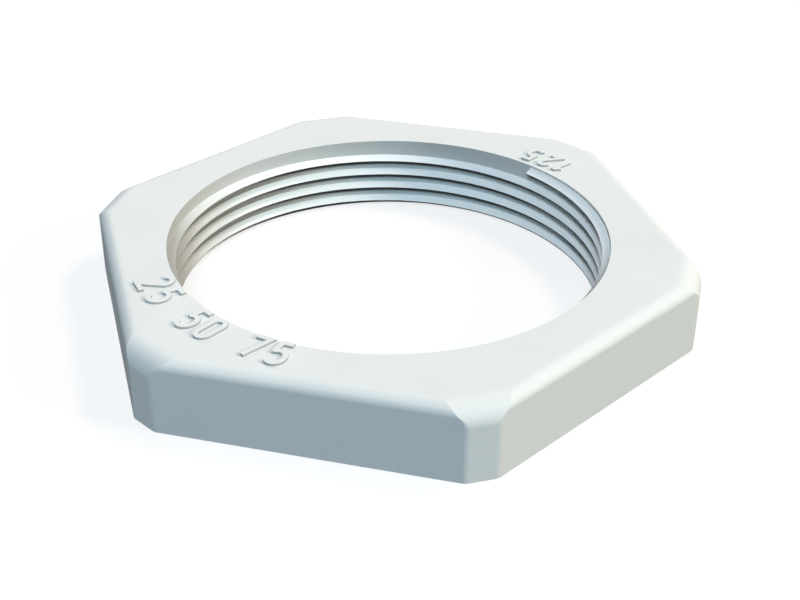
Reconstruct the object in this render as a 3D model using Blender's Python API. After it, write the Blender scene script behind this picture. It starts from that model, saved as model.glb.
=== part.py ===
"""Cable gland locknut: a hexagonal ring moulded in one piece, with a right-hand metric thread.

Run it with Blender 4.5, from the text editor or with --background --python part.py.
Lengths are in metres and +Z is up. The origin is the centre of the seating face, the flat
face that is turned against the enclosure wall. +X points at a corner face and -Y at a flat.
"""

import math

import bmesh
import bpy
from mathutils import Matrix, Vector

MM = 0.001

# Thread: size across the roots, pitch, and how far the ridge stands in from the roots
THREAD_DIAMETER = 40.0 * MM
THREAD_PITCH = 1.5 * MM
RIDGE_HEIGHT = 0.71 * MM
RIDGE_CREST = 0.10 * MM
FLANK_ANGLE = math.radians(30.0)

# Where the ridge begins: its angle round the bore, and the plain wall above it there
START_ANGLE = math.radians(66.6)
START_DROP = 0.20 * MM

# Body: wall between the thread's roots and a flat, height, the six cut corners, and the share
# of the upright edges' radius that is left where they run out as creases
RING_WALL = 5.0 * MM
HEIGHT = 7.0 * MM
CORNER_FACE_WIDTH = 2.7 * MM
UPRIGHT_EDGE_RADIUS = 1.1 * MM
CREASE_SHARE = 0.08

# Rolled top edge: how far it reaches in and down, over the flats and over the corner faces
FLAT_ROLL_IN = 1.2 * MM
FLAT_ROLL_DOWN = 1.0 * MM
CORNER_ROLL_IN = 2.2 * MM
CORNER_ROLL_DOWN = 1.9 * MM

# Fineness of the curved surfaces, and the least height between two outlines of the body
STEPS_PER_TURN = 120
ROLL_STEPS = 7
UPRIGHT_EDGE_STEPS = 3
RING_SPACING = 0.02 * MM

# Hidden overlaps: ridge into the wall, and blank below the seating face before it is faced off
RIDGE_ROOTING = 0.12 * MM
FACING_STOCK = 2.0 * THREAD_PITCH

FLATS = 6
THREAD_RADIUS = THREAD_DIAMETER / 2
FLAT_REACH = THREAD_RADIUS + RING_WALL
SMOOTH_LIMIT = math.radians(28.0)


def corner_reach():
    """Distance from the axis to a corner face, which cuts the hexagon's sharp corner off."""
    half_turn = math.pi / FLATS
    return FLAT_REACH / math.cos(half_turn) - CORNER_FACE_WIDTH / 2 * math.tan(half_turn)


def roll_inset(z, reach_in, reach_down):
    """How far an elliptical rolled edge has drawn the outline in at height z."""
    rise = max(0.0, z - (HEIGHT - reach_down)) / reach_down
    return reach_in * (1.0 - math.sqrt(max(0.0, 1.0 - rise * rise)))


def roll_heights(reach_down):
    """Heights of the rings of a rolled edge, evenly spaced round its quarter ellipse."""
    quarter = math.pi / 2
    lift = [math.sin(quarter * step / ROLL_STEPS) for step in range(ROLL_STEPS + 1)]
    return [HEIGHT - reach_down + reach_down * part for part in lift]


def edge_radius(z):
    """Radius of the upright edges at height z: they sharpen into creases over the rolled corners."""
    rise = max(0.0, z - (HEIGHT - CORNER_ROLL_DOWN)) / CORNER_ROLL_DOWN
    return UPRIGHT_EDGE_RADIUS * (CREASE_SHARE + (1.0 - CREASE_SHARE) * (1.0 - rise) ** 2)


def meeting_point(angle_a, reach_a, angle_b, reach_b):
    """Where two upright planes meet, each given by its direction and distance from the axis."""
    turn = math.sin(angle_b - angle_a)
    x = (reach_a * math.sin(angle_b) - reach_b * math.sin(angle_a)) / turn
    y = (reach_b * math.cos(angle_a) - reach_a * math.cos(angle_b)) / turn
    return Vector((x, y))


def outline(z):
    """Ring of points round the body at height z: flats, corner faces and rounded edges between."""
    flat = FLAT_REACH - roll_inset(z, FLAT_ROLL_IN, FLAT_ROLL_DOWN)
    corner = corner_reach() - roll_inset(z, CORNER_ROLL_IN, CORNER_ROLL_DOWN)
    radius = edge_radius(z)
    step = math.pi / FLATS
    points = []
    for side in range(2 * FLATS):
        here, there = (flat, corner) if side % 2 else (corner, flat)
        angle = side * step
        vertex = meeting_point(angle, here, angle + step, there)
        bisector = angle + step / 2
        to_centre = radius / math.cos(step / 2)
        centre = vertex - to_centre * Vector((math.cos(bisector), math.sin(bisector)))
        for part in range(UPRIGHT_EDGE_STEPS + 1):
            turn = angle + step * part / UPRIGHT_EDGE_STEPS
            round_point = centre + radius * Vector((math.cos(turn), math.sin(turn)))
            points.append((round_point.x, round_point.y, z))
    return points


def new_object(name, bm):
    """Object from a bmesh, with its faces turned outward."""
    bmesh.ops.recalc_face_normals(bm, faces=bm.faces)
    mesh = bpy.data.meshes.new(name)
    bm.to_mesh(mesh)
    bm.free()
    obj = bpy.data.objects.new(name, mesh)
    bpy.context.scene.collection.objects.link(obj)
    return obj


def body_blank(name):
    """Hexagonal body as a loft of outlines, still without its bore and longer than the nut."""
    heights = sorted(set(roll_heights(FLAT_ROLL_DOWN) + roll_heights(CORNER_ROLL_DOWN)))
    bm = bmesh.new()
    rings = []
    for z in [-FACING_STOCK] + heights:
        if rings and z - rings[-1][0].co.z < RING_SPACING and z < HEIGHT:
            continue
        rings.append([bm.verts.new(point) for point in outline(z)])
    for low, high in zip(rings, rings[1:]):
        for i in range(len(low)):
            j = (i + 1) % len(low)
            bm.faces.new((low[i], low[j], high[j], high[i]))
    bm.faces.new(rings[0])
    bm.faces.new(rings[-1])
    return new_object(name, bm)


def bore_cutter():
    """Plain cylinder out to the thread's roots, half a facet out of step with the ridge."""
    bm = bmesh.new()
    turn = Matrix.Rotation(START_ANGLE + math.pi / STEPS_PER_TURN, 4, "Z")
    length = HEIGHT + 4 * FACING_STOCK
    bmesh.ops.create_cone(bm, cap_ends=True, segments=STEPS_PER_TURN, radius1=THREAD_RADIUS,
                          radius2=THREAD_RADIUS, depth=length, matrix=turn)
    return new_object("bore_cutter", bm)


def ridge_section():
    """Section of the ridge as (radius, height) pairs about its crest, rooted in the wall."""
    depth = RIDGE_HEIGHT + RIDGE_ROOTING
    half_base = RIDGE_CREST / 2 + depth * math.tan(FLANK_ANGLE)
    crest = THREAD_RADIUS - RIDGE_HEIGHT
    root = THREAD_RADIUS + RIDGE_ROOTING
    return [(root, half_base), (crest, RIDGE_CREST / 2), (crest, -RIDGE_CREST / 2), (root, -half_base)]


def thread_ridge():
    """Helical ridge: its section swept clockwise and down, from the square start past the base."""
    crest_top = RIDGE_CREST / 2 + RIDGE_HEIGHT * math.tan(FLANK_ANGLE)
    start_height = HEIGHT - START_DROP - crest_top
    steps = math.ceil((start_height + THREAD_PITCH) / THREAD_PITCH * STEPS_PER_TURN)
    bm = bmesh.new()
    rings = []
    for step in range(steps + 1):
        part = step / STEPS_PER_TURN
        angle = START_ANGLE - 2 * math.pi * part
        centre = start_height - THREAD_PITCH * part
        rings.append([bm.verts.new((r * math.cos(angle), r * math.sin(angle), centre + z))
                      for r, z in ridge_section()])
    for ring, following in zip(rings, rings[1:]):
        for i in range(len(ring)):
            j = (i + 1) % len(ring)
            bm.faces.new((ring[i], ring[j], following[j], following[i]))
    bm.faces.new(rings[0])
    bm.faces.new(rings[-1])
    bmesh.ops.triangulate(bm, faces=bm.faces)
    return new_object("thread_ridge", bm)


def facing_cutter():
    """Block that takes the stock off below the seating face."""
    bm = bmesh.new()
    depth = 4 * FACING_STOCK
    bmesh.ops.create_cube(bm, size=1.0)
    bmesh.ops.scale(bm, verts=bm.verts, vec=(4 * FLAT_REACH, 4 * FLAT_REACH, depth))
    bmesh.ops.translate(bm, verts=bm.verts, vec=(0.0, 0.0, -depth / 2))
    return new_object("facing_cutter", bm)


def combine(body, tool, operation):
    """Boolean modifier on the body, with its tool kept as a wire guide."""
    tool.hide_render = True
    tool.display_type = "WIRE"
    modifier = body.modifiers.new(tool.name, "BOOLEAN")
    modifier.operation = operation
    modifier.solver = "EXACT"
    modifier.object = tool


def apply_modifiers(obj):
    """Put the evaluated shape in place of the modifiers, and remove their tools."""
    tools = [modifier.object for modifier in obj.modifiers]
    evaluated = obj.evaluated_get(bpy.context.evaluated_depsgraph_get())
    obj.data = bpy.data.meshes.new_from_object(evaluated)
    obj.modifiers.clear()
    for tool in tools:
        bpy.data.objects.remove(tool)


def moulded_polyamide():
    """Pale grey satin plastic."""
    material = bpy.data.materials.new("pale_polyamide")
    material.use_nodes = True
    shader = material.node_tree.nodes["Principled BSDF"]
    shader.inputs["Base Color"].default_value = (0.76, 0.79, 0.78, 1.0)
    shader.inputs["Roughness"].default_value = 0.42
    shader.inputs["Metallic"].default_value = 0.0
    return material


def build_locknut():
    """The whole part: blank, bore, thread ridge, seating face and finish."""
    nut = body_blank("locknut")
    combine(nut, bore_cutter(), "DIFFERENCE")
    combine(nut, thread_ridge(), "UNION")
    combine(nut, facing_cutter(), "DIFFERENCE")
    apply_modifiers(nut)
    nut.data.shade_smooth()
    nut.data.set_sharp_from_angle(angle=SMOOTH_LIMIT)
    nut.data.materials.clear()
    nut.data.materials.append(moulded_polyamide())
    return nut


def main():
    for obj in list(bpy.data.objects):
        bpy.data.objects.remove(obj)
    build_locknut()


main()
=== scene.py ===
"""Dressed scene of the cable gland locknut: a hexagonal ring moulded in pale plastic.

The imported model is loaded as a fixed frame. The nut is then built again with finer curves,
with its helical thread, its rolled edges and the raised figures on its upper face as one closed
mesh, and stands on a plain pale floor under soft studio light. Lengths are in metres, +Z is up
and the camera looks at the flat that faces -Y.
"""

import logging
import math
from dataclasses import dataclass, field
from enum import Enum, IntEnum
from itertools import cycle
from typing import Any, Callable, Iterable

import bmesh
import bpy
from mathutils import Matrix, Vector
from mathutils.geometry import delaunay_2d_cdt


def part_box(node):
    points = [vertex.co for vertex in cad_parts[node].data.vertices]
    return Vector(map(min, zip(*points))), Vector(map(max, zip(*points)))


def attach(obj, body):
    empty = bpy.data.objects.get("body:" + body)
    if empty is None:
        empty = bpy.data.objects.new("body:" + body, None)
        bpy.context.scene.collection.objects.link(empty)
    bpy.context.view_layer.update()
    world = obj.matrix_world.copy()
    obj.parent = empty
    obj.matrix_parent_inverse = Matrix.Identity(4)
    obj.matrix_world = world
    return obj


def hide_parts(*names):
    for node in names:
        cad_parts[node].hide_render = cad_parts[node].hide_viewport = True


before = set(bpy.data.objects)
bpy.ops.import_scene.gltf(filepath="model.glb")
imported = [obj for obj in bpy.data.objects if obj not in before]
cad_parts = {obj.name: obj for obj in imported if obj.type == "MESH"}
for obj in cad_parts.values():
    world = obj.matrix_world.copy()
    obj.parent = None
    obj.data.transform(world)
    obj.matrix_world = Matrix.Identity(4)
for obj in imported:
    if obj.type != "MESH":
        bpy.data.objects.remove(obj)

LOG = logging.getLogger("locknut_scene")
MM = 0.001
NODE = "locknut"
PIECE = "moulded_locknut"
# Name of the face-corner attribute that holds the painted shade and painted light of the nut's faces.
PAINTED_SHADING = "painted_shading"
NOISE_MEAN = 0.5
TRIANGLES_WITH_HULL = 0

Point2 = tuple[float, float]
Path = list[Point2]
Colour = tuple[float, float, float]

WHITE: Colour = (1.0, 1.0, 1.0)


class MathStep(Enum):
    """Arithmetic that a Signal may carry out, by the name of the Math node's operation."""

    ADD = "ADD"
    SUBTRACT = "SUBTRACT"
    MULTIPLY = "MULTIPLY"
    MAXIMUM = "MAXIMUM"


class Ray(Enum):
    """Kinds of light path that are told apart, by the name of the Light Path node's output."""

    CAMERA = "Is Camera Ray"
    GLOSSY = "Is Glossy Ray"
    TRANSMISSION = "Is Transmission Ray"


class MixSocket(IntEnum):
    """Numbers of the Mix node's sockets for colours."""

    FIRST = 6
    SECOND = 7
    RESULT = 2


class RidgePoint(IntEnum):
    """Places round the ridge's section, from the wall above it to the wall below it."""

    UPPER_ROOT = 0
    UPPER_CREST = 1
    LOWER_CREST = 2
    LOWER_ROOT = 3
    # End of the painted shade on the wall below the ridge.
    PAINTED_SHADE_END = 4


def ease(part: float) -> float:
    """Smooth step from 0 to 1, for a part of the way that is between 0 and 1."""
    return part * part * (3.0 - 2.0 * part)


@dataclass(frozen=True)
class PaintedShadingCurve:
    """Painted shade (above 0) and painted light (below 0) of a face, set by where light falls on it: at
    the back of the bore, at its two sides, and at its front if that differs.

    A side's start is the share of the way across where the tone begins to leave that of the back.
    The tone nears that of the front between two shares of the way to the back, start and end.
    """

    back: float
    left: float
    right: float
    left_start: float = 0.0
    right_start: float = 0.0
    front: float | None = None
    front_start: float = 0.0
    front_end: float = -1.0

    def at(self, spot: Vector) -> float:
        """Find the painted shade or light at a place of the nut.

        Args:
            spot: Place, of which the direction from the axis counts.

        Returns:
            The tone, blended smoothly between its values.
        """
        across, backward = spot.xy.normalized()
        side, start = (self.left, self.left_start) if across < 0 else (self.right, self.right_start)
        tone = self.back + (side - self.back) * ease(max(0.0, abs(across) - start) / (1.0 - start))
        if self.front is None:
            return tone
        part = (self.front_start - backward) / (self.front_start - self.front_end)
        return tone + (self.front - tone) * ease(min(1.0, max(0.0, part)))


class PaintedShading(Enum):
    """Painted shade on a face, from 0 for the plain finish to 1 for the painted shadow under a ridge.

    A value below 0 is painted light, lighter than the plain finish.
    """

    # Upper flanks of the thread: painted light at the back and right, painted shade at the left and
    # front.
    FLANK = PaintedShadingCurve(back=-0.20, left=0.12, right=-0.26, left_start=0.82, right_start=0.3,
                      front=0.5, front_start=0.25, front_end=-0.25)
    # Plain band below the rim: painted shade at the back, left and front, slight painted light at the
    # right.
    BAND = PaintedShadingCurve(back=0.30, left=0.20, right=-0.05, left_start=0.2, right_start=0.1,
                     front=0.35, front_start=0.6, front_end=-0.4)
    # Wall between the turns: painted shade, darkest at the left, slight painted light at the right.
    WALL = PaintedShadingCurve(back=0.06, left=0.72, right=-0.10, left_start=0.3, right_start=0.1)
    # Crest and underside of the ridge: painted shadow, fading out towards the right.
    UNDERSIDE = PaintedShadingCurve(back=1.0, left=0.55, right=-0.05, left_start=0.72, right_start=0.75)
    # Walls of the raised figures: painted shade, darker at their feet.
    FIGURE = PaintedShadingCurve(back=0.40, left=0.40, right=0.40)
    FIGURE_FOOT = PaintedShadingCurve(back=0.60, left=0.60, right=0.60)


def opaque(colour: Colour, shade: float = 1.0) -> tuple[float, ...]:
    """Colour with full alpha, darkened by a factor."""
    return (*(part * shade for part in colour), 1.0)


class ShaderGraph:
    """Node tree of a material or a world, with one method that adds any node."""

    def __init__(self, owner: bpy.types.Material | bpy.types.World) -> None:
        """Start an empty tree.

        Args:
            owner: Material or world whose nodes are replaced.
        """
        owner.use_nodes = True
        self.tree = owner.node_tree
        self.tree.nodes.clear()

    def node(self, kind: str, settings: dict[str, Any] | None = None,
             inputs: dict[str | int, Any] | None = None) -> bpy.types.Node:
        """Add a node, set it up and join its sockets.

        Args:
            kind: Blender's name of the node type.
            settings: Properties of the node, which are set first. "stops" fills a colour ramp.
            inputs: Values, sockets or signals for the node's inputs, by name or number.

        Returns:
            The new node.
        """
        made = self.tree.nodes.new(kind)
        for name, value in (settings or {}).items():
            if name == "stops":
                self._fill_ramp(made.color_ramp, value)
            else:
                setattr(made, name, value)
        for name, value in (inputs or {}).items():
            self.join(made.inputs[name], value)
        return made

    def join(self, target: bpy.types.NodeSocket, value: Any) -> None:
        """Give an input socket a link or a value.

        Args:
            target: The input socket.
            value: A signal, an output socket, or a plain value.
        """
        if isinstance(value, Signal):
            value = value.socket
        if isinstance(value, bpy.types.NodeSocket):
            self.tree.links.new(value, target)
        else:
            target.default_value = value

    def mix(self, factor: "Signal", first: Any, second: Any, clamp: bool = True) -> bpy.types.NodeSocket:
        """Mix two colours.

        Args:
            factor: Share of the second colour.
            first: Colour or socket that shows at a factor of 0.
            second: Colour or socket that shows at a factor of 1.
            clamp: Whether the factor is kept between 0 and 1.

        Returns:
            Output socket of the mixed colour.
        """
        made = self.node("ShaderNodeMix", {"data_type": "RGBA", "clamp_factor": clamp},
                         {"Factor": factor, MixSocket.FIRST: first, MixSocket.SECOND: second})
        return made.outputs[MixSocket.RESULT]

    def signal(self, node: bpy.types.Node, output: str | int = 0) -> "Signal":
        """Wrap one output of a node, so that it can be used in expressions."""
        return Signal(self, node.outputs[output])

    def ray(self, kind: Ray) -> "Signal":
        """Number that is 1 for light paths of one kind and 0 for the others."""
        return self.signal(self.node("ShaderNodeLightPath"), kind.value)

    def seen(self) -> "Signal":
        """Mask of the light paths by which the camera sees a thing, mirrored or not."""
        return self.ray(Ray.CAMERA) | self.ray(Ray.GLOSSY) | self.ray(Ray.TRANSMISSION)

    @staticmethod
    def _fill_ramp(ramp: bpy.types.ColorRamp, stops: list[Point2]) -> None:
        """Put grey stops in a colour ramp.

        Args:
            ramp: The ramp of a new node, which starts with two stops.
            stops: Place and grey level of each stop, in rising order.
        """
        while len(ramp.elements) < len(stops):
            ramp.elements.new(1.0)
        for element, (place, level) in zip(ramp.elements, stops):
            element.position = place
            element.color = (level, level, level, 1.0)


class Signal:
    """Number that varies over a surface: an output socket with arithmetic."""

    def __init__(self, graph: ShaderGraph, socket: bpy.types.NodeSocket) -> None:
        """Wrap the output socket that carries the number. New Math nodes go to the graph."""
        self.graph = graph
        self.socket = socket

    def _step(self, step: MathStep, first: "Signal | float", second: "Signal | float") -> "Signal":
        """Result of one Math node, from its left and its right operand."""
        node = self.graph.node("ShaderNodeMath", {"operation": step.value}, {0: first, 1: second})
        return self.graph.signal(node)

    def __add__(self, other: "Signal | float") -> "Signal":
        """Sum with a signal or number."""
        return self._step(MathStep.ADD, self, other)

    def __radd__(self, other: float) -> "Signal":
        """Sum with a number on the left."""
        return self._step(MathStep.ADD, other, self)

    def __sub__(self, other: "Signal | float") -> "Signal":
        """Difference from a signal or number."""
        return self._step(MathStep.SUBTRACT, self, other)

    def __rsub__(self, other: float) -> "Signal":
        """Difference with a number on the left."""
        return self._step(MathStep.SUBTRACT, other, self)

    def __mul__(self, other: "Signal | float") -> "Signal":
        """Product with a signal or number."""
        return self._step(MathStep.MULTIPLY, self, other)

    def __rmul__(self, other: float) -> "Signal":
        """Product with a number on the left."""
        return self._step(MathStep.MULTIPLY, other, self)

    def __or__(self, other: "Signal") -> "Signal":
        """The larger of two signals, so that two masks are joined."""
        return self._step(MathStep.MAXIMUM, self, other)


@dataclass(frozen=True)
class NoisePattern:
    """Noise on a surface: cells in a metre, octaves of finer noise, and how far it is swirled."""

    scale: float
    detail: float
    distortion: float = 0.0

    def build(self, graph: ShaderGraph, place: bpy.types.NodeSocket) -> Signal:
        """Add the noise texture.

        Args:
            graph: Graph that gets the node.
            place: Socket with the coordinates.

        Returns:
            Signal of the noise, about NOISE_MEAN on average.
        """
        return graph.signal(graph.node("ShaderNodeTexNoise", None, {
            "Vector": place,
            "Scale": self.scale,
            "Detail": self.detail,
            "Distortion": self.distortion,
        }))


@dataclass(frozen=True)
class SatinPolyamide:
    """Finish of the nut: pale moulded plastic with hardly any sheen.

    The colour has faint flow marks, the gloss is uneven as on a moulding, and a fine grain
    from the mould's surface shows only where light grazes it. Painted shade darkens the colour
    in the bore and at the figures' walls, and painted light brightens parts of the bore.
    """

    colour: Colour = (0.765, 0.795, 0.785)
    flow: NoisePattern = NoisePattern(scale=95.0, detail=4.0, distortion=1.4)
    flow_range: Point2 = (0.35, 0.75)
    flow_shade: float = 0.965
    # Darkest painted shade, as a share of the colour: it stands for the shadow under the thread's
    # ridges.
    painted_shade_factor: float = 0.08
    cloud: NoisePattern = NoisePattern(scale=420.0, detail=3.0)
    roughness: float = 0.70
    roughness_spread: float = 0.08
    grain: NoisePattern = NoisePattern(scale=5200.0, detail=2.0)
    grain_height: float = 0.004 * MM
    ripple: NoisePattern = NoisePattern(scale=260.0, detail=2.0)
    ripple_height: float = 0.004 * MM
    bump_strength: float = 0.35
    specular_level: float = 0.03

    def build(self, name: str) -> bpy.types.Material:
        """Make the material.

        Args:
            name: Name of the material.

        Returns:
            The new material.
        """
        material = bpy.data.materials.new(name)
        graph = ShaderGraph(material)
        place = graph.node("ShaderNodeTexCoord").outputs["Object"]
        patterns = (self.flow, self.cloud, self.grain, self.ripple)
        flow, cloud, grain, ripple = (pattern.build(graph, place) for pattern in patterns)
        low, high = self.flow_range
        marks = graph.signal(graph.node("ShaderNodeValToRGB", {"stops": [(low, 0.0), (high, 1.0)]},
                                        {"Fac": flow}))
        marked = graph.mix(marks, opaque(self.colour), opaque(self.colour, self.flow_shade))
        # Painted shade and painted light from the mesh's attribute: 1 gives the darkest painted shade,
        # values below 0 lighten the colour past the plain finish.
        painted_shading = graph.signal(graph.node("ShaderNodeAttribute", {"attribute_name": PAINTED_SHADING}), "Fac")
        colour = graph.mix(painted_shading, marked, opaque(self.colour, self.painted_shade_factor), clamp=False)
        height = self.grain_height * grain + self.ripple_height * ripple
        bump = graph.node("ShaderNodeBump", None,
                          {"Strength": self.bump_strength, "Distance": 1.0, "Height": height})
        roughness = self.roughness + self.roughness_spread * (cloud - NOISE_MEAN)
        shader = graph.node("ShaderNodeBsdfPrincipled", None, {
            "Base Color": colour,
            "Roughness": roughness,
            "Specular IOR Level": self.specular_level,
            "Normal": bump.outputs["Normal"],
        })
        graph.node("ShaderNodeOutputMaterial", None, {"Surface": shader.outputs["BSDF"]})
        return material


@dataclass(frozen=True)
class PaleFloorFinish:
    """Finish of the studio floor: matte, and white to the camera apart from the nut's shadow."""

    bounce_colour: Colour = (0.04, 0.04, 0.04)
    seen_colour: Colour = (0.30, 0.30, 0.30)
    seen_glow: float = 0.74

    def build(self, name: str) -> bpy.types.Material:
        """Make the material.

        Args:
            name: Name of the material.

        Returns:
            The new material.
        """
        material = bpy.data.materials.new(name)
        graph = ShaderGraph(material)
        seen = graph.seen()
        matte = graph.node("ShaderNodeBsdfDiffuse", None, {"Color": opaque(self.bounce_colour)})
        pale = graph.node("ShaderNodeBsdfDiffuse", None, {"Color": opaque(self.seen_colour)})
        glow = graph.node("ShaderNodeEmission", None, {"Strength": self.seen_glow})
        white = graph.node("ShaderNodeAddShader", None,
                           {0: pale.outputs["BSDF"], 1: glow.outputs["Emission"]})
        mixed = graph.node("ShaderNodeMixShader", None,
                           {0: seen, 1: matte.outputs["BSDF"], 2: white.outputs["Shader"]})
        graph.node("ShaderNodeOutputMaterial", None, {"Surface": mixed.outputs["Shader"]})
        return material


@dataclass
class HexagonForm:
    """Outer form of the nut: a hexagon with cut corners and a rolled upper edge."""

    flat_reach: float
    corner_reach: float
    height: float
    flats: int = 6
    upright_radius: float = 1.1 * MM
    crease_share: float = 0.08
    flat_roll_in: float = 1.2 * MM
    flat_roll_down: float = 1.0 * MM
    corner_roll_in: float = 2.2 * MM
    corner_roll_down: float = 1.9 * MM
    roll_steps: int = 18
    upright_steps: int = 8
    least_spacing: float = 0.0175 * MM

    def _inset(self, z: float, reach_in: float, reach_down: float) -> float:
        """How far an elliptical roll, of its reach in and down, has drawn the outline in."""
        rise = max(0.0, z - (self.height - reach_down)) / reach_down
        return reach_in * (1.0 - math.sqrt(max(0.0, 1.0 - rise * rise)))

    def _edge_radius(self, z: float) -> float:
        """Radius of the upright edges, which sharpen into creases over the rolled corners."""
        rise = max(0.0, z - (self.height - self.corner_roll_down)) / self.corner_roll_down
        return self.upright_radius * (self.crease_share + (1.0 - self.crease_share) * (1.0 - rise) ** 2)

    def heights(self) -> list[float]:
        """Work out the heights of the outlines.

        Returns:
            Rising heights, close together where the rolled edges bend most.
        """
        levels = {0.0}
        for reach_down in (self.flat_roll_down, self.corner_roll_down):
            for step in range(self.roll_steps + 1):
                lift = math.sin(math.pi / 2 * step / self.roll_steps)
                levels.add(self.height - reach_down + reach_down * lift)
        kept: list[float] = []
        for level in sorted(levels):
            if not kept or level - kept[-1] > self.least_spacing:
                kept.append(level)
        kept[-1] = self.height
        return kept

    def outline(self, z: float) -> list[Vector]:
        """Work out the ring of points round the body at one height.

        Args:
            z: Height above the seating face.

        Returns:
            Points of the flats, the corner faces and the rounded edges between them.
        """
        flat = self.flat_reach - self._inset(z, self.flat_roll_in, self.flat_roll_down)
        corner = self.corner_reach - self._inset(z, self.corner_roll_in, self.corner_roll_down)
        radius = self._edge_radius(z)
        step = math.pi / self.flats
        ring = []
        for side in range(2 * self.flats):
            here, there = (flat, corner) if side % 2 else (corner, flat)
            angle = side * step
            vertex = self._meeting(angle, here, angle + step, there)
            inward = radius / math.cos(step / 2)
            bisector = angle + step / 2
            centre = vertex - inward * Vector((math.cos(bisector), math.sin(bisector)))
            for part in range(self.upright_steps + 1):
                turn = angle + step * part / self.upright_steps
                spot = centre + radius * Vector((math.cos(turn), math.sin(turn)))
                ring.append(Vector((spot.x, spot.y, z)))
        return ring

    @staticmethod
    def _meeting(angle_a: float, reach_a: float, angle_b: float, reach_b: float) -> Vector:
        """Find where two upright planes meet.

        Args:
            angle_a: Direction of the first plane's normal.
            reach_a: Distance of the first plane from the axis.
            angle_b: Direction of the second plane's normal.
            reach_b: Distance of the second plane from the axis.

        Returns:
            The meeting point, seen from above.
        """
        turn = math.sin(angle_b - angle_a)
        x = (reach_a * math.sin(angle_b) - reach_b * math.sin(angle_a)) / turn
        y = (reach_b * math.cos(angle_a) - reach_a * math.cos(angle_b)) / turn
        return Vector((x, y))


@dataclass
class ThreadForm:
    """Bore of the nut: a helical ridge on a plain wall, from a square start below the rim."""

    height: float
    radius: float = 20.0 * MM
    pitch: float = 1.5 * MM
    ridge_height: float = 0.71 * MM
    crest: float = 0.10 * MM
    flank_angle: float = math.radians(30.0)
    start_angle: float = math.radians(60.3)
    start_drop: float = 0.226 * MM
    # Reach of the painted shade down the wall below each ridge.
    painted_shade_reach: float = 0.24 * MM
    steps: int = 336

    def _turned(self, step: int, radius: float, z: float) -> Vector:
        """Point at a step of the helix, which goes clockwise from the start."""
        angle = self.start_angle - 2 * math.pi * step / self.steps
        return Vector((radius * math.cos(angle), radius * math.sin(angle), z))

    def section(self, step: int) -> list[Vector]:
        """Work out the ridge's section at one step of the helix.

        Args:
            step: Number of steps from the start.

        Returns:
            The places that RidgePoint numbers. The last is the end of the painted shade on the
            wall below the ridge.
        """
        half_base = self.crest / 2 + self.ridge_height * math.tan(self.flank_angle)
        centre = self.height - self.start_drop - half_base - self.pitch * step / self.steps
        inner = self.radius - self.ridge_height
        profile = [(self.radius, half_base), (inner, self.crest / 2),
                   (inner, -self.crest / 2), (self.radius, -half_base),
                   (self.radius, -half_base - self.painted_shade_reach)]
        return [self._turned(step, radius, centre + lift) for radius, lift in profile]

    def rim(self) -> list[Vector]:
        """Points of the bore's upper edge, clockwise from the thread's start."""
        return [self._turned(step, self.radius, self.height) for step in range(self.steps)]

    def step_count(self) -> int:
        """Number of steps that take the whole section below the seating face."""
        return math.ceil((self.height / self.pitch + 1.0) * self.steps)


def arc(centre: Point2, reach: Point2, start: float, end: float, steps: int = 14) -> Path:
    """Work out points along an arc of an ellipse.

    Args:
        centre: Centre of the ellipse.
        reach: Half width and half height.
        start: First angle in degrees, anticlockwise from the right.
        end: Last angle in degrees.
        steps: Number of stretches.

    Returns:
        The points, ends included.
    """
    turns = [math.radians(start + (end - start) * step / steps) for step in range(steps + 1)]
    return [(centre[0] + reach[0] * math.cos(turn), centre[1] + reach[1] * math.sin(turn))
            for turn in turns]


@dataclass
class Figure:
    """One raised figure: its width and the middle lines of its strokes, for a height of 1."""

    width: float
    strokes: list[Path]


def figure_zero() -> Figure:
    """Upright oval with straight sides."""
    loop = arc((0.205, 0.775), (0.205, 0.225), 0, 180) + arc((0.205, 0.225), (0.205, 0.225), 180, 360)
    return Figure(0.41, [loop + loop[:1]])


def figure_one() -> Figure:
    """Upright stem with a short flag to its left."""
    return Figure(0.28, [[(0.21, 1.0), (0.21, 0.0)], [(0.0, 0.70), (0.20, 0.93)]])


def figure_two() -> Figure:
    """Bowl at the top that runs down to a flat foot."""
    bowl = arc((0.22, 0.77), (0.22, 0.23), 165, -28)
    return Figure(0.46, [bowl + [(0.0, 0.0), (0.46, 0.0)]])


def figure_five() -> Figure:
    """Bar and short stem above an open bowl."""
    bowl = arc((0.20, 0.31), (0.26, 0.31), 128, -140, steps=20)
    return Figure(0.46, [[(0.42, 1.0), (0.09, 1.0), (0.05, 0.50)], bowl])


def figure_seven() -> Figure:
    """Bar with one long slanting stroke."""
    return Figure(0.46, [[(0.0, 1.0), (0.46, 1.0), (0.13, 0.0)]])


def figure_gap() -> Figure:
    """Space between two numbers."""
    return Figure(0.50, [])


FIGURES: dict[str, Callable[[], Figure]] = {
    "0": figure_zero,
    "1": figure_one,
    "2": figure_two,
    "5": figure_five,
    "7": figure_seven,
    " ": figure_gap,
}


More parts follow.
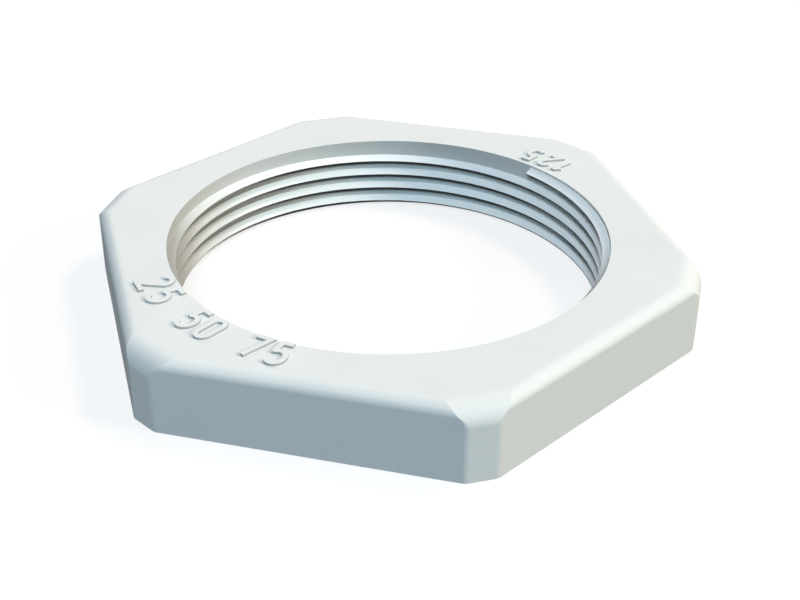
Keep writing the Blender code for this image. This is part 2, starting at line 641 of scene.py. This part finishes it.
@dataclass(frozen=True)
class RaisedLegend:
    """Row of raised figures on the upper face, on an arc and with their feet turned outward."""

    text: str
    middle_angle: float
    base_radius: float = 23.30 * MM
    figure_height: float = 2.90 * MM
    stroke_width: float = 0.46 * MM
    spacing: float = 0.95 * MM

    def stroke_quads(self) -> list[list[Point2]]:
        """Lay the strokes out on the face.

        Returns:
            Four-sided pieces of every stroke, seen from above.
        """
        figures = [FIGURES[letter]() for letter in self.text]
        size = self.figure_height
        widths = [figure.width * size for figure in figures]
        total = sum(widths) + self.spacing * (len(figures) - 1)
        middle_radius = self.base_radius - size / 2
        quads = []
        place = -total / 2
        for figure, width in zip(figures, widths):
            angle = self.middle_angle + (place + width / 2) / middle_radius
            for stroke in figure.strokes:
                path = [(u * size - width / 2, v * size) for u, v in stroke]
                for quad in self._ribbon(path):
                    quads.append([self._on_face(angle, spot) for spot in quad])
            place += width + self.spacing
        return quads

    def _on_face(self, angle: float, spot: Point2) -> Point2:
        """Place a point of a figure on the face.

        Args:
            angle: Direction of the figure's middle from the axis.
            spot: Point of the figure, to the right of its middle and above its foot.

        Returns:
            The point in the frame's X and Y.
        """
        out = self.base_radius - spot[1]
        return (out * math.cos(angle) - spot[0] * math.sin(angle),
                out * math.sin(angle) + spot[0] * math.cos(angle))

    def _ribbon(self, path: Path) -> list[list[Point2]]:
        """Widen a stroke's middle line, with mitred bends and square ends.

        Args:
            path: Points of the middle line. A closed one ends where it starts.

        Returns:
            One four-sided piece for each stretch.
        """
        points = [Vector(point) for point in path]
        closed = path[0] == path[-1]
        if closed:
            points.pop()
        count = len(points)
        edges = []
        for i, point in enumerate(points):
            before = points[i - 1] if closed or i > 0 else None
            after = points[(i + 1) % count] if closed or i < count - 1 else None
            along_in = (point - before).normalized() if before else (after - point).normalized()
            along_out = (after - point).normalized() if after else along_in
            across = Vector((-(along_in + along_out).y, (along_in + along_out).x)).normalized()
            square = Vector((-along_in.y, along_in.x))
            reach = self.stroke_width / 2 / across.dot(square)
            edges.append((point + reach * across, point - reach * across))
        quads = []
        for i in range(count if closed else count - 1):
            (left, right), (next_left, next_right) = edges[i], edges[(i + 1) % count]
            quads.append([tuple(left), tuple(right), tuple(next_right), tuple(next_left)])
        return quads


@dataclass
class Locknut:
    """The nut as one closed mesh: rolled hexagonal body, threaded bore and raised figures.

    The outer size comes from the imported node. The tolerances are for cutting at the seating
    face, for telling what lies in it, and for joining points of the upper face.
    """

    finish: SatinPolyamide = field(default_factory=SatinPolyamide)
    legends: tuple[RaisedLegend, ...] = (
        RaisedLegend("25 50 75", math.radians(-119.0)),
        RaisedLegend("125", math.radians(59.0), base_radius=23.05 * MM, figure_height=2.30 * MM),
    )
    relief: float = 0.21 * MM
    smooth_limit: float = math.radians(28.0)
    face_area_weight: int = 100
    cut_tolerance: float = 0.0001 * MM
    level_tolerance: float = 0.001 * MM
    join_tolerance: float = 0.000001 * MM
    height: float = field(init=False)
    body: HexagonForm = field(init=False)
    thread: ThreadForm = field(init=False)

    def __post_init__(self) -> None:
        """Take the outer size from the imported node."""
        low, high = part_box(NODE)
        self.height = high.z - low.z
        self.body = HexagonForm(flat_reach=high.y, corner_reach=high.x, height=self.height)
        self.thread = ThreadForm(height=self.height)

    def build(self) -> bpy.types.Object:
        """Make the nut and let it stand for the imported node.

        Returns:
            The dressed nut.
        """
        bm = bmesh.new()
        rim = self._add_bore(bm)
        edge = self._add_sides(bm)
        self._add_upper_face(bm, edge, rim)
        self._add_seating_face(bm)
        bmesh.ops.recalc_face_normals(bm, faces=bm.faces)
        mesh = bpy.data.meshes.new(PIECE)
        bm.to_mesh(mesh)
        bm.free()
        mesh.shade_smooth()
        mesh.set_sharp_from_angle(angle=self.smooth_limit)
        nut = bpy.data.objects.new(PIECE, mesh)
        bpy.context.scene.collection.objects.link(nut)
        self._even_normals(nut)
        nut.data.materials.append(self.finish.build("satin_polyamide"))
        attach(nut, "root")
        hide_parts(NODE)
        return nut

    def _add_bore(self, bm: bmesh.types.BMesh) -> list[bmesh.types.BMVert]:
        """Add the wall and the ridge of the bore, cut off at the seating face, with painted shade and
        painted light noted at the faces' corners.

        Args:
            bm: Mesh that is being built, still empty.

        Returns:
            Vertices of the upper rim, clockwise from the thread's start.
        """
        turn = self.thread.steps
        last = self.thread.step_count()
        layer = bm.loops.layers.float.new(PAINTED_SHADING)
        rim = [bm.verts.new(point) for point in self.thread.rim()]
        ridge = []
        for step in range(last + 1):
            ridge.append([bm.verts.new(point) for point in self.thread.section(step)])
        bm.faces.new(ridge[0][:RidgePoint.PAINTED_SHADE_END])
        # Painted shadow on the ridge's crest and underside, painted light and shade on its flanks by
        # where they lie, and painted shade on the wall below.
        rows = ((RidgePoint.UPPER_ROOT, PaintedShading.FLANK, PaintedShading.FLANK),
                (RidgePoint.UPPER_CREST, PaintedShading.UNDERSIDE, PaintedShading.UNDERSIDE),
                (RidgePoint.LOWER_CREST, PaintedShading.UNDERSIDE, PaintedShading.UNDERSIDE),
                (RidgePoint.LOWER_ROOT, PaintedShading.UNDERSIDE, PaintedShading.WALL))
        for step in range(last):
            here, there = ridge[step], ridge[step + 1]
            for row, upper, lower in rows:
                face = bm.faces.new((here[row], here[row + 1], there[row + 1], there[row]))
                self._paint_shading(face, layer, upper, lower, lower, upper)
            if step + 1 + turn <= last:
                below, below_there = ridge[step + turn], ridge[step + 1 + turn]
                face = bm.faces.new((here[RidgePoint.PAINTED_SHADE_END], below[RidgePoint.UPPER_ROOT],
                                     below_there[RidgePoint.UPPER_ROOT], there[RidgePoint.PAINTED_SHADE_END]))
                self._paint_shading(face, layer, PaintedShading.WALL)
        tops = [section[RidgePoint.UPPER_ROOT] for section in ridge[:turn + 1]]
        for step in range(turn - 1):
            face = bm.faces.new((rim[step], tops[step], tops[step + 1], rim[step + 1]))
            self._paint_shading(face, layer, PaintedShading.BAND)
        face = bm.faces.new((rim[-1], tops[-2], tops[-1], ridge[0][RidgePoint.PAINTED_SHADE_END],
                             ridge[0][RidgePoint.LOWER_ROOT], tops[0], rim[0]))
        self._paint_shading(face, layer, PaintedShading.BAND)
        everything = bm.verts[:] + bm.edges[:] + bm.faces[:]
        bmesh.ops.bisect_plane(bm, geom=everything, dist=self.cut_tolerance, plane_co=(0, 0, 0),
                               plane_no=(0, 0, -1), clear_outer=True)
        return rim

    @staticmethod
    def _paint_shading(face: bmesh.types.BMFace, layer: bmesh.types.BMLayerItem, *tones: PaintedShading) -> None:
        """Note a face's painted shade or light, by a tone for each corner in turn or by one for them
        all.
        """
        for loop, tone in zip(face.loops, cycle(tones)):
            loop[layer] = tone.value.at(loop.vert.co)

    def _add_sides(self, bm: bmesh.types.BMesh) -> list[bmesh.types.BMVert]:
        """Add the outer sides and the rolled upper edge.

        Args:
            bm: Mesh that is being built.

        Returns:
            Vertices of the upper face's outer edge.
        """
        rings = [[bm.verts.new(point) for point in self.body.outline(z)] for z in self.body.heights()]
        for lower, upper in zip(rings, rings[1:]):
            for i, (low_here, up_here) in enumerate(zip(lower, upper)):
                j = (i + 1) % len(lower)
                bm.faces.new((low_here, lower[j], upper[j], up_here))
        return rings[-1]

    def _add_upper_face(self, bm: bmesh.types.BMesh, edge: list[bmesh.types.BMVert],
                        rim: list[bmesh.types.BMVert]) -> None:
        """Add the flat upper face, with the figures standing up from it and painted shade on their
        walls.

        The face is laid out in millimetres, which suits the tolerance of the triangulation.

        Args:
            bm: Mesh that is being built.
            edge: Vertices of the face's outer edge.
            rim: Vertices of the bore's upper rim.
        """
        borders = edge + rim
        flat = [vert.co.xy / MM for vert in borders]
        loops = self._loop(0, len(edge)) + self._loop(len(edge), len(rim))
        strokes = []
        for legend in self.legends:
            for quad in legend.stroke_quads():
                strokes.append(list(range(len(flat), len(flat) + len(quad))))
                flat += [Vector(spot) / MM for spot in quad]
        points, _, triangles, origins, _, sources = delaunay_2d_cdt(
            flat, loops, strokes, TRIANGLES_WITH_HULL, self.join_tolerance / MM)
        ground: dict[int, bmesh.types.BMVert] = {}
        for number, origin in enumerate(origins):
            known = [old for old in origin if old < len(borders)]
            if known:
                ground[number] = borders[known[0]]
        raised: dict[int, bmesh.types.BMVert] = {}
        hole = self.thread.radius * math.cos(math.pi / self.thread.steps) / MM
        outline: set[tuple[int, int]] = set()
        for triangle, source in zip(triangles, sources):
            centre = sum((points[number] for number in triangle), Vector((0.0, 0.0))) / len(triangle)
            if centre.length < hole and not source:
                continue
            level, z = (raised, self.height + self.relief) if source else (ground, self.height)
            for number in triangle:
                if number not in level:
                    level[number] = bm.verts.new((points[number].x * MM, points[number].y * MM, z))
            bm.faces.new([level[number] for number in triangle])
            if source:
                for a, b in zip(triangle, triangle[1:] + triangle[:1]):
                    outline.symmetric_difference_update({(min(a, b), max(a, b))})
        layer = bm.loops.layers.float[PAINTED_SHADING]
        # Walls of the figures get painted shade, darker at their feet.
        for a, b in sorted(outline):
            face = bm.faces.new((ground[a], ground[b], raised[b], raised[a]))
            self._paint_shading(face, layer, PaintedShading.FIGURE_FOOT, PaintedShading.FIGURE_FOOT,
                       PaintedShading.FIGURE, PaintedShading.FIGURE)

    @staticmethod
    def _loop(start: int, count: int) -> list[tuple[int, int]]:
        """Edges of a closed loop of numbered points."""
        return [(start + i, start + (i + 1) % count) for i in range(count)]

    def _add_seating_face(self, bm: bmesh.types.BMesh) -> None:
        """Close the underside between the outer sides and the bore.

        Args:
            bm: Mesh that is being built, open only at the seating face.
        """
        rims = [item for item in bm.edges if item.is_boundary
                and all(abs(vert.co.z) < self.level_tolerance for vert in item.verts)]
        bmesh.ops.triangle_fill(bm, use_beauty=True, use_dissolve=False, edges=rims)

    def _even_normals(self, obj: bpy.types.Object) -> None:
        """Turn the shading normals towards the larger faces, so that the flats stay flat.

        Args:
            obj: Object whose mesh is replaced by the treated one.
        """
        modifier = obj.modifiers.new("even_normals", "WEIGHTED_NORMAL")
        modifier.keep_sharp = True
        modifier.weight = self.face_area_weight
        evaluated = obj.evaluated_get(bpy.context.evaluated_depsgraph_get())
        obj.data = bpy.data.meshes.new_from_object(evaluated)
        obj.modifiers.clear()


def hang(name: str, data: bpy.types.Light | bpy.types.Camera, azimuth: float, elevation: float,
         distance: float) -> bpy.types.Object:
    """Hang a lamp or a camera above the floor, turned towards the origin.

    Args:
        name: Name of the new object.
        data: The lamp or camera.
        azimuth: Direction from the axis in degrees, anticlockwise from +X.
        elevation: Degrees above the floor.
        distance: Distance from the origin.

    Returns:
        The new object.
    """
    obj = bpy.data.objects.new(name, data)
    turn, rise = math.radians(azimuth), math.radians(elevation)
    level = math.cos(rise)
    away = Vector((math.cos(turn) * level, math.sin(turn) * level, math.sin(rise)))
    obj.location = away * distance
    obj.rotation_euler = away.to_track_quat("Z", "Y").to_euler()
    bpy.context.scene.collection.objects.link(obj)
    return obj


@dataclass(frozen=True)
class Lamp:
    """Distant soft lamp, given by the direction it shines from. The angles are in degrees."""

    name: str
    azimuth: float
    elevation: float
    strength: float
    colour: Colour
    spread: float = 16.0
    distance: float = 1.0

    def build(self) -> bpy.types.Object:
        """Hang the lamp.

        Returns:
            The lamp's object, which shines towards the nut.
        """
        data = bpy.data.lights.new(self.name, "SUN")
        data.energy = self.strength
        data.color = self.colour
        data.angle = math.radians(self.spread)
        return hang(self.name, data, self.azimuth, self.elevation, self.distance)


@dataclass
class Studio:
    """Floor, lamps and surroundings of the picture."""

    floor_half_width: float = 2.0
    floor_steps: int = 8
    floor_gap: float = 0.02 * MM
    sky_colour: Colour = WHITE
    sky_strength: float = 0.02
    floor_finish: PaleFloorFinish = field(default_factory=PaleFloorFinish)
    lamps: tuple[Lamp, ...] = (
        Lamp("key_lamp", azimuth=0.0, elevation=25.0, strength=2.01, colour=(1.0, 0.92, 0.77)),
        Lamp("top_lamp", azimuth=40.0, elevation=55.0, strength=1.235, colour=(1.0, 0.87, 0.785)),
        Lamp("front_lamp", azimuth=-80.0, elevation=40.0, strength=1.33, colour=(0.56, 0.84, 1.0)),
        Lamp("left_lamp", azimuth=-100.0, elevation=55.0, strength=0.907, colour=(0.94, 0.92, 1.0)),
        Lamp("back_lamp", azimuth=120.0, elevation=25.0, strength=0.658, colour=(0.92, 0.955, 1.0)),
    )

    def build(self) -> None:
        """Make the floor, the lamps and the world."""
        floor = self._floor()
        for lamp in self.lamps:
            lamp.build()
        self._surroundings()

    def _floor(self) -> bpy.types.Object:
        """Make the floor.

        Returns:
            A flat sheet a hair's breadth under the seating face.
        """
        bm = bmesh.new()
        bmesh.ops.create_grid(bm, x_segments=self.floor_steps, y_segments=self.floor_steps,
                              size=self.floor_half_width)
        mesh = bpy.data.meshes.new("studio_floor")
        bm.to_mesh(mesh)
        bm.free()
        mesh.materials.append(self.floor_finish.build("pale_floor"))
        floor = bpy.data.objects.new("studio_floor", mesh)
        floor.location.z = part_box(NODE)[0].z - self.floor_gap
        bpy.context.scene.collection.objects.link(floor)
        return floor

    def _surroundings(self) -> None:
        """Make the world: white to the camera, and a weak even light on the nut."""
        world = bpy.data.worlds.new("studio")
        bpy.context.scene.world = world
        graph = ShaderGraph(world)
        seen = graph.seen()
        light = graph.node("ShaderNodeBackground", None,
                           {"Color": opaque(self.sky_colour), "Strength": self.sky_strength})
        white = graph.node("ShaderNodeBackground", None, {"Color": opaque(WHITE), "Strength": 1.0})
        mixed = graph.node("ShaderNodeMixShader", None,
                           {0: seen, 1: light.outputs["Background"], 2: white.outputs["Background"]})
        graph.node("ShaderNodeOutputWorld", None, {"Surface": mixed.outputs["Shader"]})


@dataclass(frozen=True)
class StudioCamera:
    """Camera at the photograph's angle, which looks at the middle of the seating face.

    The angles are in degrees. The lens and the sensor are in millimetres, as Blender has them,
    and the shift is a share of the picture's width.
    """

    azimuth: float = -74.83
    elevation: float = 31.02
    distance: float = 133.6 * MM
    lens: float = 64.48
    sensor: float = 36.0
    shift: Point2 = (0.0142, -0.0004)
    clip_start: float = 6.68 * MM

    def build(self) -> bpy.types.Object:
        """Set the camera up.

        Returns:
            The camera's object.
        """
        data = bpy.data.cameras.new("studio_camera")
        data.lens = self.lens
        data.sensor_width = self.sensor
        data.shift_x, data.shift_y = self.shift
        data.clip_start = self.clip_start
        camera = hang("studio_camera", data, self.azimuth, self.elevation, self.distance)
        bpy.context.scene.camera = camera
        return camera


def main() -> None:
    """Build the camera, the studio and the nut, and log the camera's lens and the nut's face count."""
    logging.basicConfig(level=logging.INFO, format="%(message)s")
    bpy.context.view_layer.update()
    bpy.context.scene.view_settings.view_transform = "Standard"
    camera = StudioCamera().build()
    LOG.info("%s: %.1f mm lens", camera.name, camera.data.lens)
    Studio().build()
    LOG.info("studio: floor, lamps and world")
    nut = Locknut().build()
    LOG.info("%s: %d faces", nut.name, len(nut.data.polygons))


if __name__ == "__main__":
    main()
